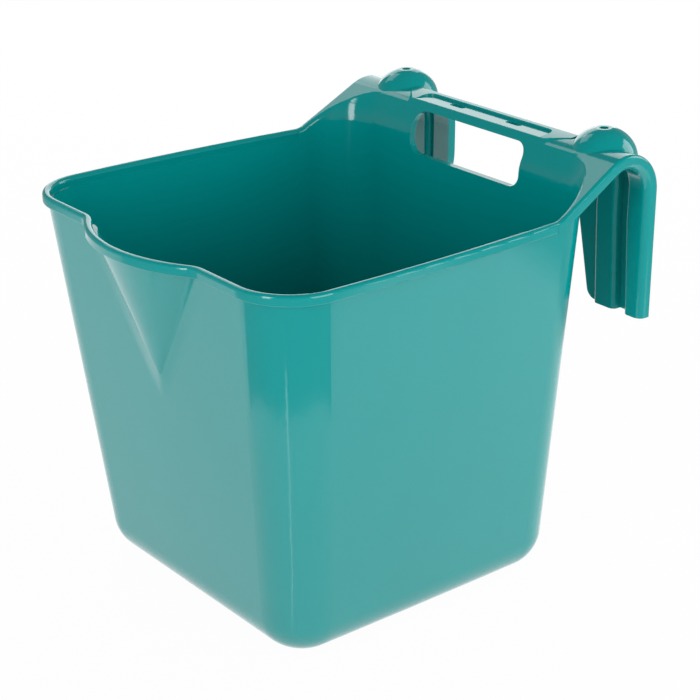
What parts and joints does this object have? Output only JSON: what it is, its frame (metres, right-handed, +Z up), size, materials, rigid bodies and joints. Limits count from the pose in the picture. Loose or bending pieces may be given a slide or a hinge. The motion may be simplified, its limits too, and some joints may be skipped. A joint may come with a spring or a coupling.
{
  "type": "hanging horse feeder",
  "caption": "Tapered square tub with a pouring lip, a rim band, a grip bar over a hand hole and two ribbed hooks that hang it on a board.",
  "frame": {"origin": "middle of the tub's flat base, on the plane it stands on", "axes": "+Z up, -Y towards the pouring lip, +Y towards the hooks, +X to the right seen from the lip side"},
  "size_m": [0.2708, 0.3207, 0.2875],
  "materials": {
    "tub_plastic": "satin gloss, injection-moulded polypropylene coloured through"
  },
  "bodies": {
    "root": {"floor_pan": "tub_plastic", "tub_walls": "tub_plastic", "pouring_lip": "tub_plastic", "rim_band": "tub_plastic", "back_panel": "tub_plastic", "grip_bar": "tub_plastic", "right_hook_shoulder": "tub_plastic", "right_hook_leg": "tub_plastic", "right_outer_rib": "tub_plastic", "right_inner_rib": "tub_plastic", "right_crest_rib": "tub_plastic", "right_boss": "tub_plastic", "left_hook_shoulder": "tub_plastic", "left_hook_leg": "tub_plastic", "left_outer_rib": "tub_plastic", "left_inner_rib": "tub_plastic", "left_crest_rib": "tub_plastic", "left_boss": "tub_plastic"}
  },
  "joints": []
}
